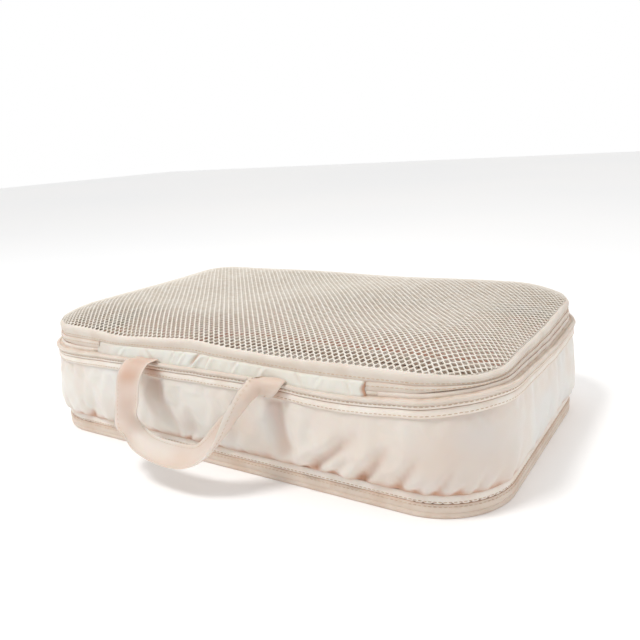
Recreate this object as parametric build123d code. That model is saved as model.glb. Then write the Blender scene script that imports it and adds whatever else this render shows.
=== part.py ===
from build123d import *
import os

# Compression packing cube, in millimetres. The origin is the centre of the base, on the surface that the
# cube stands on. X runs along the handle side, -Y faces the handle, +Z is up.

# ---- Driving dimensions -------------------------------------------------------------------------------
LENGTH = 440.0            # along X, outside the bottom binding
DEPTH = 270.0             # along Y, outside the bottom binding
CORNER_RADIUS = 57.0      # of the base outline

BOTTOM_BAND_TOP = 17.0    # top edge of the bottom binding
WALL_TOP = 71.0           # where the side wall meets the compression zip
COMPRESSION_SPLIT = 77.3  # centre line of the compression zip
COLLAR_SEAM = 83.5        # top edge of the compression zip's upper tape
LID_SPLIT = 87.6          # centre line of the lid zip
HINGE_TOP = 91.5          # top edge of the hinge panel
LID_BAND_TOP = 101.4      # top edge of the lid binding
CROWN_TOP = 114.0         # highest point of the net

FABRIC = 1.5              # wall and panel thickness
TAPE = 1.2                # zip tape thickness
BAND_STEP = 6.0           # the compression zip stands this far outside the base outline
COIL_GAP = 1.4            # free height between two coils of one zip
COIL_HEIGHT = 1.4         # height of one coil
COIL_DEPTH = 1.8          # thickness of one coil
TAPE_GAP = 1.6            # free height between two tapes of one zip

HINGE_PANEL_LEFT = -124.0   # the hinge panel runs between these two stations on the handle side
HINGE_PANEL_RIGHT = 135.0
ZIP_END_CLEARANCE = 1.5     # from the hinge panel to each end of the lid zip

STRAP_WIDTH = 25.0
STRAP_THICKNESS = 1.6

FRONT = -DEPTH / 2
BACK = DEPTH / 2


# ---- Shapes that repeat -------------------------------------------------------------------------------
def outline(offset, height):
    """The base outline grown by offset, as a face at the given height."""
    shape = RectangleRounded(LENGTH + 2 * offset, DEPTH + 2 * offset, CORNER_RADIUS + offset)
    return Plane.XY.offset(height) * shape


def ring(outer, inner, low, high):
    """An upright band round the cube, between two offsets from the base outline."""
    return extrude(outline(outer, low) - outline(inner, low), high - low)


def stacked_loft(levels):
    """A solid through outlines given as (offset, height) pairs, straight between them."""
    return loft([outline(offset, height) for offset, height in levels], ruled=True)


def shell_band(levels, thickness):
    """A band round the cube whose outer face follows the levels."""
    inner_levels = [(offset - thickness, height) for offset, height in levels]
    return stacked_loft(levels) - stacked_loft(inner_levels)


def front_slot(left, right):
    """A block that covers the handle side between two stations, for cutting bands."""
    reach = 40.0
    return Pos((left + right) / 2, FRONT, LID_SPLIT) * Box(right - left, reach, 4 * reach)


# ---- Base: everything below the compression zip's teeth --------------------------------------------------
SEAM_OUTER = BAND_STEP - TAPE     # inner face of the compression zip tapes


def make_bottom_panel():
    return extrude(outline(-FABRIC, 0), FABRIC)


def make_bottom_binding():
    return ring(0, -FABRIC, 0, BOTTOM_BAND_TOP)


def make_side_wall():
    foot = [(-FABRIC, FABRIC), (-FABRIC, BOTTOM_BAND_TOP)]
    bulge = foot + [(3.5, 28.0), (5.2, 42.0), (5.4, 56.0), (SEAM_OUTER, WALL_TOP)]
    return shell_band(bulge, FABRIC)


SEAM_BINDING_HEIGHT = 2.5
GUSSET_OUTER = 0.4
GUSSET_INNER = -1.0


def make_wall_seam_binding():
    return ring(SEAM_OUTER, GUSSET_INNER, WALL_TOP, WALL_TOP + SEAM_BINDING_HEIGHT)


def make_compression_lower_tape():
    return ring(BAND_STEP, SEAM_OUTER, WALL_TOP, COMPRESSION_SPLIT - TAPE_GAP / 2)


def make_compression_lower_coil():
    top = COMPRESSION_SPLIT - COIL_GAP / 2
    return ring(SEAM_OUTER, SEAM_OUTER - COIL_DEPTH, top - COIL_HEIGHT, top)


def make_expansion_gusset():
    return ring(GUSSET_OUTER, GUSSET_INNER, WALL_TOP + SEAM_BINDING_HEIGHT, COLLAR_SEAM - SEAM_BINDING_HEIGHT)


COMPRESSION_END = -142.0    # both ends of the compression zip finish under one tab here, on the back


def make_compression_end_tab():
    tab_width, tab_height, tab_thickness = 9.0, 4.2, 1.2
    centre_y = BACK + BAND_STEP + tab_thickness / 2
    centre_z = WALL_TOP + 0.3 + tab_height / 2
    return Pos(COMPRESSION_END - tab_width / 2, centre_y, centre_z) * Box(tab_width, tab_thickness, tab_height)


# ---- Collar: from the compression zip's upper tape to the lid zip's lower tape ----------------------------
LID_TAPE_OUTER = 0.6
LID_TAPE_INNER = LID_TAPE_OUTER - TAPE


def make_compression_upper_tape():
    return ring(BAND_STEP, SEAM_OUTER, COMPRESSION_SPLIT + TAPE_GAP / 2, COLLAR_SEAM)


def make_compression_upper_coil():
    bottom = COMPRESSION_SPLIT + COIL_GAP / 2
    return ring(SEAM_OUTER, SEAM_OUTER - COIL_DEPTH, bottom, bottom + COIL_HEIGHT)


def make_collar_seam_binding():
    return ring(SEAM_OUTER, GUSSET_INNER, COLLAR_SEAM - SEAM_BINDING_HEIGHT, COLLAR_SEAM)


def make_hinge_panel():
    slope = [(4.4, COLLAR_SEAM), (-0.8, HINGE_TOP)]
    return shell_band(slope, TAPE) & front_slot(HINGE_PANEL_LEFT, HINGE_PANEL_RIGHT)


def lid_zip_run(band):
    """Leaves the part of a band that the lid zip covers: all of it but the hinge panel."""
    return band - front_slot(HINGE_PANEL_LEFT - ZIP_END_CLEARANCE, HINGE_PANEL_RIGHT + ZIP_END_CLEARANCE)


def make_lid_zip_lower_tape():
    return lid_zip_run(ring(LID_TAPE_OUTER, LID_TAPE_INNER, COLLAR_SEAM, LID_SPLIT - TAPE_GAP / 2 + 0.1))


def make_lid_zip_lower_coil():
    top = LID_SPLIT - COIL_GAP / 2
    return lid_zip_run(ring(LID_TAPE_INNER, LID_TAPE_INNER - COIL_DEPTH, top - 1.0, top))


def make_lid_zip_end_tab(side):
    """A small tab sewn over one end of the lid zip. Side is -1 on the left and 1 on the right."""
    tab_width, tab_height, tab_thickness = 8.0, 3.0, 1.2
    end = HINGE_PANEL_RIGHT if side > 0 else HINGE_PANEL_LEFT
    centre_x = end + side * (ZIP_END_CLEARANCE + tab_width / 2)
    centre_y = FRONT - LID_TAPE_OUTER - tab_thickness / 2
    centre_z = COLLAR_SEAM + 0.3 + tab_height / 2
    return Pos(centre_x, centre_y, centre_z) * Box(tab_width, tab_thickness, tab_height)


# ---- Lid ------------------------------------------------------------------------------------------------
LID_BAND_OUTER = -0.4
LID_BAND_INNER = -3.2


def make_lid_zip_upper_tape():
    return lid_zip_run(ring(LID_TAPE_OUTER, LID_TAPE_INNER, LID_SPLIT + COIL_GAP / 2, HINGE_TOP + 0.3))


def make_lid_zip_upper_coil():
    bottom = LID_SPLIT + COIL_GAP / 2
    return lid_zip_run(ring(LID_TAPE_INNER, LID_TAPE_INNER - COIL_DEPTH, bottom, bottom + 1.0))


def make_lid_binding():
    return ring(LID_BAND_OUTER, LID_BAND_INNER, HINGE_TOP + 0.3, LID_BAND_TOP)


def make_mesh_panel():
    """The crowned net, as a thin closed dome whose rim is sewn inside the lid binding."""
    net_thickness = 1.0
    rim = LID_BAND_TOP - 1.8
    crown = [(LID_BAND_INNER, rim), (-14.0, 105.0), (-26.0, 109.0), (-38.0, 112.0), (-50.0, CROWN_TOP)]
    below = [(offset, height - net_thickness) for offset, height in crown]
    dome = stacked_loft([(LID_BAND_INNER, rim - net_thickness)] + crown)
    return dome - stacked_loft([(LID_BAND_INNER, rim - 2 * net_thickness)] + below)


# ---- Handle ---------------------------------------------------------------------------------------------
# The strap's centre line as (x, distance in front of the base outline, z), from the left end to the right,
# with the way that its width points at each place. It makes half a turn from one end to the other.
STRAP_EXIT = 6.8
STRAP_LEVEL = COLLAR_SEAM + STRAP_THICKNESS / 2
STRAP_ROUTE = [
    ((-62, STRAP_EXIT, STRAP_LEVEL), (1, 0, 0)),
    ((-63, 20, 83), (1, 0, 0)),
    ((-63.5, 29, 75), (1, 0, 0)),
    ((-62.5, 33, 58), (0.97, -0.2, 0.1)),
    ((-60, 36, 43), (0.9, -0.38, 0.1)),
    ((-52, 38.5, 31.5), (0.45, -0.88, -0.1)),
    ((-35, 41, 26), (0.1, -0.95, -0.25)),
    ((-12, 41.5, 24), (0, -0.95, -0.28)),
    ((8, 41, 26), (0.05, -0.96, -0.25)),
    ((22, 38.5, 33.5), (0.2, -0.97, -0.1)),
    ((34, 34.5, 48), (0.38, -0.92, 0.05)),
    ((45, 28, 64), (0.48, -0.87, 0)),
    ((54, 20, 77), (0.62, -0.78, 0)),
    ((61, STRAP_EXIT, STRAP_LEVEL), (1, 0, 0)),
]
STRAP_END_DEPTH = 1.35     # how far each sewn end shows in front of the hinge panel
STRAP_END_OUTER = 5.8


def strap_point(place):
    across, out, height = place
    return Vector(across, FRONT - out, height)


def make_handle_strap():
    centres = [strap_point(place) for place, width_direction in STRAP_ROUTE]
    sections = []
    for index, (place, width_direction) in enumerate(STRAP_ROUTE):
        if index == 0:
            along = Vector(0, -1, 0)
        elif index == len(STRAP_ROUTE) - 1:
            along = Vector(0, 1, 0)
        else:
            along = (centres[index + 1] - centres[index - 1]).normalized()
        width_way = Vector(*width_direction)
        width_way = (width_way - along * width_way.dot(along)).normalized()
        section_plane = Plane(origin=centres[index], x_dir=width_way, z_dir=along)
        sections.append(section_plane * Rectangle(STRAP_WIDTH, STRAP_THICKNESS))
    spans = [loft([start, end], ruled=True) for start, end in zip(sections, sections[1:])]
    return spans[0].fuse(*spans[1:])


def make_handle_end(side):
    """One sewn end of the strap, where it comes out of the collar seam."""
    end_place, width_direction = STRAP_ROUTE[0 if side < 0 else -1]
    centre_x = end_place[0]
    centre_y = FRONT - STRAP_END_OUTER + STRAP_END_DEPTH / 2
    return Pos(centre_x, centre_y, STRAP_LEVEL) * Box(STRAP_WIDTH, STRAP_END_DEPTH, STRAP_THICKNESS)


# ---- Sliders and pulls ----------------------------------------------------------------------------------
PLATE_THICKNESS = 2.0
BACK_PLATE_THICKNESS = 1.5
SLIDER_LENGTH = 12.0
BRIDGE_LENGTH = 7.0
BRIDGE_WIDTH = 1.6
BRIDGE_RISE = 2.7
BRIDGE_HOLE_LENGTH = 3.6
BRIDGE_HOLE_RISE = 1.8
PIN_RISE = 0.9             # from the front plate to the pull's pin
PIN_RADIUS = 0.55
POST_LENGTH = 3.0
POST_HEIGHT = 0.8
SLIDER_CLEARANCE = 0.3

LID_SLIDER_STATION = 7.0            # the two lid sliders meet at the middle of the back
COMPRESSION_SLIDER_STATION = -130.0


def front_plate_face(tape_outer):
    """Y of the outer face of a slider that runs on a tape with the given outer offset."""
    return BACK + tape_outer + SLIDER_CLEARANCE + PLATE_THICKNESS


def make_slider(station, split, tape_outer, coil_inner, front_height, back_height):
    """A zip slider on the back: two plates, the post between them and the bridge that holds the pull."""
    front_face = front_plate_face(tape_outer)
    back_face = BACK + coil_inner - SLIDER_CLEARANCE
    front = Pos(0, front_face - PLATE_THICKNESS / 2, 0) * Box(SLIDER_LENGTH, PLATE_THICKNESS, front_height)
    front = fillet(front.edges().filter_by(Axis.Y), 2.0)
    back = Pos(0, back_face - BACK_PLATE_THICKNESS / 2, 0) * Box(SLIDER_LENGTH, BACK_PLATE_THICKNESS, back_height)
    back = fillet(back.edges().filter_by(Axis.Y), 1.5)
    post_depth = front_face - PLATE_THICKNESS - back_face
    post = Pos(0, back_face + post_depth / 2, 0) * Box(POST_LENGTH, post_depth + 0.4, POST_HEIGHT)
    arch = Pos(0, front_face + BRIDGE_RISE / 2, 0) * Box(BRIDGE_LENGTH, BRIDGE_RISE, BRIDGE_WIDTH)
    hole = Pos(0, front_face + BRIDGE_HOLE_RISE / 2, 0) * Box(BRIDGE_HOLE_LENGTH, BRIDGE_HOLE_RISE, 2 * BRIDGE_WIDTH)
    return Pos(station, 0, split) * (front + back + post + arch - hole)


def make_pull(station, split, tape_outer, side):
    """A zip pull: a pin through the bridge, two arms and a flat tab. Side is the way it points at rest."""
    tab_start, tab_end, arm_reach = 4.6, 24.0, 5.2
    tab_height, tab_thickness, arm_width = 7.0, 1.2, 1.5
    arm_level = BRIDGE_WIDTH / 2 + SLIDER_CLEARANCE + arm_width / 2
    pin = Cylinder(PIN_RADIUS, 2 * arm_level + arm_width)
    pull = pin
    for level in (-arm_level, arm_level):
        pull += Pos(arm_reach / 2, 0, level) * Box(arm_reach, tab_thickness, arm_width)
    tab = Pos((tab_start + tab_end) / 2, 0, 0) * Box(tab_end - tab_start, tab_thickness, tab_height)
    tab = fillet(tab.edges().filter_by(Axis.Y), 2.0)
    tab -= Pos(tab_end - 4.5, 0, 0) * Rot(90, 0, 0) * Cylinder(1.6, 3 * tab_thickness)
    pull += tab
    if side < 0:
        pull = mirror(pull, about=Plane.YZ)
    return Pos(station, front_plate_face(tape_outer) + PIN_RISE, split) * pull


def lid_slider(side):
    return make_slider(side * LID_SLIDER_STATION, LID_SPLIT, LID_TAPE_OUTER, LID_TAPE_INNER - COIL_DEPTH, 7.4, 6.0)


def lid_pull(side):
    return make_pull(side * LID_SLIDER_STATION, LID_SPLIT, LID_TAPE_OUTER, side)


def compression_slider():
    return make_slider(COMPRESSION_SLIDER_STATION, COMPRESSION_SPLIT, BAND_STEP, SEAM_OUTER - COIL_DEPTH, 9.0, 6.4)


def compression_pull():
    return make_pull(COMPRESSION_SLIDER_STATION, COMPRESSION_SPLIT, BAND_STEP, 1)


# ---- Every node, by name --------------------------------------------------------------------------------
nodes = {
    "bottom_panel": make_bottom_panel(),
    "bottom_binding": make_bottom_binding(),
    "side_wall": make_side_wall(),
    "wall_seam_binding": make_wall_seam_binding(),
    "compression_zip_lower_tape": make_compression_lower_tape(),
    "compression_zip_lower_coil": make_compression_lower_coil(),
    "compression_zip_end_tab": make_compression_end_tab(),
    "expansion_gusset": make_expansion_gusset(),
    "compression_zip_upper_tape": make_compression_upper_tape(),
    "compression_zip_upper_coil": make_compression_upper_coil(),
    "collar_seam_binding": make_collar_seam_binding(),
    "hinge_panel": make_hinge_panel(),
    "lid_zip_lower_tape": make_lid_zip_lower_tape(),
    "lid_zip_lower_coil": make_lid_zip_lower_coil(),
    "lid_zip_end_tab_left": make_lid_zip_end_tab(-1),
    "lid_zip_end_tab_right": make_lid_zip_end_tab(1),
    "lid_zip_upper_tape": make_lid_zip_upper_tape(),
    "lid_zip_upper_coil": make_lid_zip_upper_coil(),
    "lid_binding": make_lid_binding(),
    "mesh_panel": make_mesh_panel(),
    "handle_strap": make_handle_strap(),
    "handle_end_left": make_handle_end(-1),
    "handle_end_right": make_handle_end(1),
    "lid_zip_slider_left": lid_slider(-1),
    "lid_zip_slider_right": lid_slider(1),
    "lid_zip_pull_left": lid_pull(-1),
    "lid_zip_pull_right": lid_pull(1),
    "compression_zip_slider": compression_slider(),
    "compression_zip_pull": compression_pull(),
}

os.makedirs("parts", exist_ok=True)
for name, shape in nodes.items():
    export_step(shape, f"parts/{name}.step")
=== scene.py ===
import math

import bpy
import numpy as np
from mathutils import Matrix, Vector


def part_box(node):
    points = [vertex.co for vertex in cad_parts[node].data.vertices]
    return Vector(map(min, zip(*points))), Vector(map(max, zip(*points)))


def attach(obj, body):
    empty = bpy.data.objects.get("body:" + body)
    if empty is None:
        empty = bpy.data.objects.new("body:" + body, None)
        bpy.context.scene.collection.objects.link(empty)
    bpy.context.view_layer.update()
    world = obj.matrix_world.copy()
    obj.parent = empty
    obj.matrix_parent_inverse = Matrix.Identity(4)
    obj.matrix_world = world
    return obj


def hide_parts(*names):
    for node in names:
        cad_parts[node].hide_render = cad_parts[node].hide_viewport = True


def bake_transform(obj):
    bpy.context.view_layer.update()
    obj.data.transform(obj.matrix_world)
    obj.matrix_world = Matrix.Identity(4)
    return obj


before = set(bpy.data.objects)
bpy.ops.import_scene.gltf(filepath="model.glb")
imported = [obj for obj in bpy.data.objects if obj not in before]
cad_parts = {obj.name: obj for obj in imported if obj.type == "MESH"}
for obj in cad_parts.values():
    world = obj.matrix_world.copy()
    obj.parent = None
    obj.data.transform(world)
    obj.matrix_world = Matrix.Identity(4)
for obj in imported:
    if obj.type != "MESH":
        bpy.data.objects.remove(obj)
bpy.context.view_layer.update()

MM = 0.001


# ---- Sizes and places, from the frame ----
def node_low(name):
    return [float(value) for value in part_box(name)[0]]


def node_high(name):
    return [float(value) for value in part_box(name)[1]]


def gap_middle(below, above):
    """The height midway between the top of one node and the foot of the next."""
    return (node_high(below)[2] + node_low(above)[2]) / 2


HALF_LENGTH = node_high("bottom_binding")[0]
HALF_DEPTH = node_high("bottom_binding")[1]
CORNER = 57 * MM            # radius of the base outline
BAND_TOP = node_high("bottom_binding")[2]
WALL_TOP = node_high("side_wall")[2]
COLLAR_SEAM = node_high("compression_zip_upper_tape")[2]
BAND_STEP = node_high("compression_zip_upper_tape")[0] - HALF_LENGTH
COMPRESSION_SPLIT = gap_middle("compression_zip_lower_tape", "compression_zip_upper_tape")
LID_SPLIT = gap_middle("lid_zip_lower_coil", "lid_zip_upper_coil")
LID_TAPE_OUTER = node_high("lid_zip_lower_tape")[0] - HALF_LENGTH
LID_BAND_LOW = node_low("lid_binding")[2]
LID_BAND_TOP = node_high("lid_binding")[2]
CROWN_TOP = node_high("mesh_panel")[2]
PANEL_LEFT = node_low("hinge_panel")[0]
PANEL_RIGHT = node_high("hinge_panel")[0]
ZIP_GAP = 1.5 * MM          # from the hinge panel to each end of the lid zip

STRAIGHT_X = HALF_LENGTH - CORNER
STRAIGHT_Y = HALF_DEPTH - CORNER
QUARTER = math.pi * CORNER / 2
PERIMETER = 4 * (STRAIGHT_X + STRAIGHT_Y + QUARTER)

# Stations are arc lengths round the outline, from the middle of the handle side by way of the right end.
BACK_MIDDLE = PERIMETER / 2
RIGHT_END = STRAIGHT_X + QUARTER + STRAIGHT_Y
LEFT_END = -RIGHT_END
ZIP_START = PANEL_RIGHT + ZIP_GAP
ZIP_END = PERIMETER + PANEL_LEFT - ZIP_GAP


# ---- The way round the cube ----
def outline_at(u):
    """Places round the base outline at stations u. Gives x, y and the outward direction."""
    u = np.mod(np.asarray(u, float), PERIMETER)
    starts = np.cumsum([0, STRAIGHT_X, QUARTER, 2 * STRAIGHT_Y, QUARTER, 2 * STRAIGHT_X, QUARTER,
                        2 * STRAIGHT_Y, QUARTER, STRAIGHT_X])
    angle = np.interp(u, starts, np.array([-1, -1, 0, 0, 1, 1, 2, 2, 3, 3]) * math.pi / 2)
    centre_x = np.interp(u, starts, np.array([0, 1, 1, 1, 1, -1, -1, -1, -1, 0]) * STRAIGHT_X)
    centre_y = np.interp(u, starts, np.array([-1, -1, -1, 1, 1, 1, 1, -1, -1, -1]) * STRAIGHT_Y)
    nx, ny = np.cos(angle), np.sin(angle)
    return centre_x + CORNER * nx, centre_y + CORNER * ny, nx, ny


def waves(u, v, seed, shortest, longest, count=14):
    """A smooth random field over the shell, about -1 to 1, closed round the perimeter."""
    rng = np.random.default_rng(seed)
    total = np.zeros(np.broadcast(u, v).shape)
    for _ in range(count):
        length = math.exp(rng.uniform(math.log(shortest), math.log(longest)))
        lean = rng.uniform(-0.8, 0.8)
        turns = round(PERIMETER / length)
        phase = rng.uniform(0, 2 * math.pi)
        total = total + np.cos(2 * math.pi * (turns * u / PERIMETER + lean * v / length) + phase)
    return total / math.sqrt(count / 2) / 2


def smooth(low, high, value):
    """0 below low, 1 above high, and an even rise between them."""
    t = np.clip((value - low) / (high - low), 0, 1)
    return t * t * (3 - 2 * t)


def away_from(station, u):
    """How far u is past a station, the short way round: negative when it comes before."""
    return np.mod(u - station + PERIMETER / 2, PERIMETER) - PERIMETER / 2


def near_share(station, u, near, far):
    """1 up to the near distance from a station, falling to 0 at the far one."""
    return 1 - smooth(near, far, np.abs(away_from(station, u)))


def station_bumps(u, bumps):
    """A sum of smooth bumps round the cube, each given as (station, half width, height) in millimetres."""
    total = np.zeros_like(u, dtype=float)
    for station, width, height in bumps:
        total = total + height * MM * np.exp(-(away_from(station * MM, u) / (width * MM)) ** 2)
    return total


# Where the middle bands and the lid's rim sag or ride up, as (station, half width, height) in millimetres.
MIDDLE_SAG = [(-178, 66, -3.4), (-50, 26, -0.8), (105, 42, -2.9), (222, 46, 4.2), (362, 55, -2.2)]
RIM_SAG = [(-102, 26, -2.6), (-20, 28, 2.8), (70, 38, -1.8), (222, 34, -3.8), (315, 60, -3.6),
           (-330, 90, -2.0)]
LEFT_LEAN = -6.5 * MM       # how far each end of the filled cube leans inward at its top
RIGHT_LEAN = -4.0 * MM


def settle(u, z):
    """How the soft shell has settled at a place: a small shift outward and upward, none at the floor and
    next to none along the back, where the sliders travel."""
    rise = smooth(BAND_TOP, WALL_TOP - 12 * MM, z)
    rim = smooth(COLLAR_SEAM - 1 * MM, LID_BAND_TOP, z)
    free = 1 - 0.95 * near_share(BACK_MIDDLE, u, STRAIGHT_X - 5 * MM, STRAIGHT_X + 25 * MM)
    lean = (LEFT_LEAN * near_share(LEFT_END, u, 100 * MM, 195 * MM)
            + RIGHT_LEAN * near_share(RIGHT_END, u, 100 * MM, 195 * MM))
    swell = 1.0 * MM * waves(u, 0, 11, 0.11, 0.45)
    ripple = 0.22 * MM * waves(u, 0, 13, 0.012, 0.05)
    outward = (lean + swell + ripple) * rise * free
    middle = station_bumps(u, MIDDLE_SAG) + 0.2 * MM * waves(u, 0, 14, 0.015, 0.06)
    upward = (middle * (1 - rim) + station_bumps(u, RIM_SAG) * rim) * rise * free
    return outward, upward


def shell_points(u, offset, z):
    """Points on the settled shell, given by station, distance outside the outline and height."""
    outward, upward = settle(u, z)
    x, y, nx, ny = outline_at(u)
    reach = offset + outward
    return np.stack(np.broadcast_arrays(x + nx * reach, y + ny * reach, z + upward), axis=-1)


# ---- Meshes ----
def mesh_object(name, points, faces):
    mesh = bpy.data.meshes.new(name)
    mesh.from_pydata(points.reshape(-1, 3).tolist(), [], faces)
    mesh.validate()
    mesh.update()
    mesh.shade_smooth()
    made = bpy.data.objects.new(name, mesh)
    bpy.context.scene.collection.objects.link(made)
    return made


def grid_faces(rows, columns, close_rows=False, close_columns=False):
    """Quads over a grid of points numbered row by row."""
    row_steps = rows if close_rows else rows - 1
    column_steps = columns if close_columns else columns - 1
    r, c = np.meshgrid(np.arange(row_steps), np.arange(column_steps), indexing="ij")
    r2, c2 = (r + 1) % rows, (c + 1) % columns
    quads = np.stack([r * columns + c, r2 * columns + c, r2 * columns + c2, r * columns + c2], axis=-1)
    return quads.reshape(-1, 4).tolist()


def end_caps(count, sides):
    """The two faces that close a tube of count rings."""
    return [list(range(sides))[::-1], [(count - 1) * sides + k for k in range(sides)]]


def outward_at(u):
    """The level outward direction at each station."""
    x, y, nx, ny = outline_at(u)
    return np.stack(np.broadcast_arrays(nx, ny, np.zeros_like(nx)), axis=-1)


def band(name, section, start=0.0, end=PERIMETER, step=2.5 * MM, wrinkle=None, soiled=(0.45, 0.45),
         stains=()):
    """A band round the cube, or between two stations, with a closed section of (offset, height) points.
    wrinkle(u, offset, z) gives further shifts outward and upward. The two edge shares give painted shade
    along the lower and the upper edge, and the shadow list holds places of painted shadow as (station, half
    width, strength)."""
    whole = end - start >= PERIMETER - 1e-9
    count = max(3, int(round((end - start) / step)))
    u = np.linspace(start, end, count, endpoint=not whole)[:, None]
    section = np.array(section)
    offset, z = section[None, :, 0], section[None, :, 1]
    if wrinkle:
        outward, upward = wrinkle(u, offset, z)
        offset, z = offset + outward, z + upward
    points = shell_points(u, offset, z)
    faces = grid_faces(count, len(section), close_rows=whole, close_columns=True)
    if not whole:
        faces += end_caps(count, len(section))
    made = mesh_object(name, points, faces)
    out, height = section[None, :, 0], section[None, :, 1]
    # Painted shade along both edges of the outer face, in the gaps next to the other bands and at the floor,
    # and painted shadows at the listed stations.
    reach = 0.4 * MM
    low_edge_shade = soiled[0] * np.exp((height.min() - height) / reach)
    high_edge_shade = soiled[1] * np.exp((height - height.max()) / reach)
    outer_side = smooth(out.max() - 1.6 * MM, out.max() - 0.9 * MM, out)
    set_painted_shade(made, (low_edge_shade + high_edge_shade + station_bumps(u, stains) / MM) * outer_side)
    return made


def rounded_section(low, high, outer, inner, bulge, edge=0.4 * MM):
    """A closed section of a tape: an outer face that bulges, rounded edges and a flat inner face."""
    t = np.linspace(0, 1, 7)
    z = low + edge + t * (high - low - 2 * edge)
    face = outer + bulge * (1 - (2 * t - 1) ** 2)
    points = [(outer - edge, low), (outer - 0.3 * edge, low + 0.3 * edge)]
    points += list(zip(face, z))
    points += [(outer - 0.3 * edge, high - 0.3 * edge), (outer - edge, high)]
    return points + [(inner, high), (inner, low)]


def join(name, pieces):
    """One mesh object made of several."""
    bpy.ops.object.select_all(action="DESELECT")
    for piece in pieces:
        piece.select_set(True)
    bpy.context.view_layer.objects.active = pieces[0]
    bpy.ops.object.join()
    pieces[0].name = name
    pieces[0].data.name = name
    return pieces[0]


def beads(name, centre, along, out, length, radius, rings=5, sides=6):
    """Copies of one bead at the given places, thickest in its middle, each with its own long axis and outer
    side."""
    share = np.linspace(-0.5, 0.5, rings)[:, None]
    size = radius * (1 - 0.65 * (2 * np.abs(share)) ** 3)
    turn = 2 * math.pi * np.arange(sides)[None, :] / sides
    shape = np.stack(np.broadcast_arrays(length * share, size * np.cos(turn), size * np.sin(turn)), axis=-1)
    shape = shape.reshape(-1, 3)
    along = along / np.linalg.norm(along, axis=1)[:, None]
    axes = np.stack([along, out, np.cross(along, out)], axis=1)
    shape_faces = grid_faces(rings, sides, close_columns=True) + end_caps(rings, sides)
    faces = []
    for base in range(0, len(centre) * len(shape), len(shape)):
        faces += [[base + corner for corner in face] for face in shape_faces]
    return mesh_object(name, centre[:, None] + shape @ axes, faces)


STITCH_PITCH = 3.4 * MM
STITCH_LENGTH = 2.6 * MM
STITCH_RADIUS = 0.34 * MM
COIL_PITCH = 1.5 * MM
COIL_TURN = 2.3 * MM        # height of one turn of a zip coil
COIL_RADIUS = 0.5 * MM


def even_stations(start, end, pitch, phase):
    """Stations at an even pitch, the first one a share of a pitch after the start."""
    count = int((end - start) / pitch)
    return start + (np.arange(count) + phase) * (end - start) / count


def stitch_row(name, offset, z, start=0.0, end=PERIMETER):
    """A row of stitches along the shell."""
    u = even_stations(start, end, STITCH_PITCH, 0.5)
    centre = shell_points(u, offset, z)
    ahead = shell_points(u + 0.5 * MM, offset, z) - centre
    return beads(name, centre, ahead, outward_at(u), STITCH_LENGTH, STITCH_RADIUS)


def coil_row(name, offset, z, phase, start=0.0, end=PERIMETER):
    """The turns of one zip coil: short upright bars at an even pitch."""
    u = even_stations(start, end, COIL_PITCH, phase)
    upright = np.tile([0.0, 0.0, 1.0], (len(u), 1))
    centre = shell_points(u, offset, z)
    return beads(name, centre, upright, outward_at(u), COIL_TURN, COIL_RADIUS, rings=3, sides=5)


def rolled_section(low, high, outer, inner, roll):
    """A closed section of a rolled hem: a round outer side and a flat inner face."""
    middle, half = (low + high) / 2, (high - low) / 2
    points = []
    for turn in np.linspace(-math.pi / 2, math.pi / 2, 11):
        points.append((outer + roll * math.cos(turn), middle + half * math.sin(turn)))
    return points + [(inner, high - 0.3 * MM), (inner, low + 0.3 * MM)]


# ---- Cloth ----
def coordinates(piece):
    flat = np.empty(len(piece.data.vertices) * 3)
    piece.data.vertices.foreach_get("co", flat)
    return flat.reshape(-1, 3)


def move_points(piece, points):
    piece.data.vertices.foreach_set("co", points.ravel())
    piece.data.update()


def relax(piece, pinned, pressure, slack, reach, frames=20):
    """Lets a piece hang as cloth that is cut a little larger than it stands, held at the pinned points. No
    point moves further than reach."""
    before = coordinates(piece)
    group = piece.vertex_groups.new(name="pinned")
    group.add([int(index) for index in pinned], 1.0, "REPLACE")
    cloth = piece.modifiers.new("cloth", "CLOTH")
    settings = cloth.settings
    settings.vertex_group_mass = group.name
    settings.quality = 6
    settings.mass = 0.12
    settings.tension_stiffness = settings.compression_stiffness = 12
    settings.shear_stiffness = 3
    settings.bending_stiffness = 0.15
    settings.use_pressure = True
    settings.uniform_pressure_force = pressure
    settings.shrink_min = -slack
    settings.effector_weights.gravity = 0
    cloth.point_cache.frame_start = 1
    cloth.point_cache.frame_end = frames
    for number in range(1, frames + 1):
        bpy.context.scene.frame_set(number)
    settled = piece.evaluated_get(bpy.context.evaluated_depsgraph_get())
    move = coordinates(settled) - before
    piece.modifiers.remove(cloth)
    piece.vertex_groups.clear()
    far = np.linalg.norm(move, axis=1)[:, None]
    move *= np.minimum(1, reach / np.maximum(far, 1e-9))
    move_points(piece, before + move)
    bpy.context.scene.frame_set(1)


def fold_field(u, z, folds):
    """The rise and fall of drawn folds. Each is ((station, height), (station, height), half width, depth),
    in millimetres: a valley along the line, with a ridge beside it."""
    total = np.zeros(np.broadcast(u, z).shape)
    for (u1, z1), (u2, z2), width, depth in folds:
        du = away_from(u1 * MM, u)
        dz = z - z1 * MM
        run = np.array([u2 - u1, z2 - z1]) * MM
        length = np.linalg.norm(run)
        along = (du * run[0] + dz * run[1]) / length
        side = (du * run[1] - dz * run[0]) / length
        beyond = np.maximum(0, np.maximum(-along, along - length)) / (2.2 * width * MM)
        fade = np.exp(-beyond ** 2) * (1 - 0.55 * np.clip(along / length, 0, 1))
        near = side / (width * MM)
        ridge, valley = 0.8 * np.exp(-(near + 1.5) ** 2), np.exp(-near ** 2)
        total = total + depth * MM * fade * (ridge - valley)
    return total


# ---- Materials ----
def linear(color):
    """A colour given as it looks on a screen, 0 to 255, in the renderer's linear values."""
    shares = [value / 255 for value in color]
    return (*[share / 12.92 if share <= 0.04045 else ((share + 0.055) / 1.055) ** 2.4 for share in shares], 1)


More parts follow.
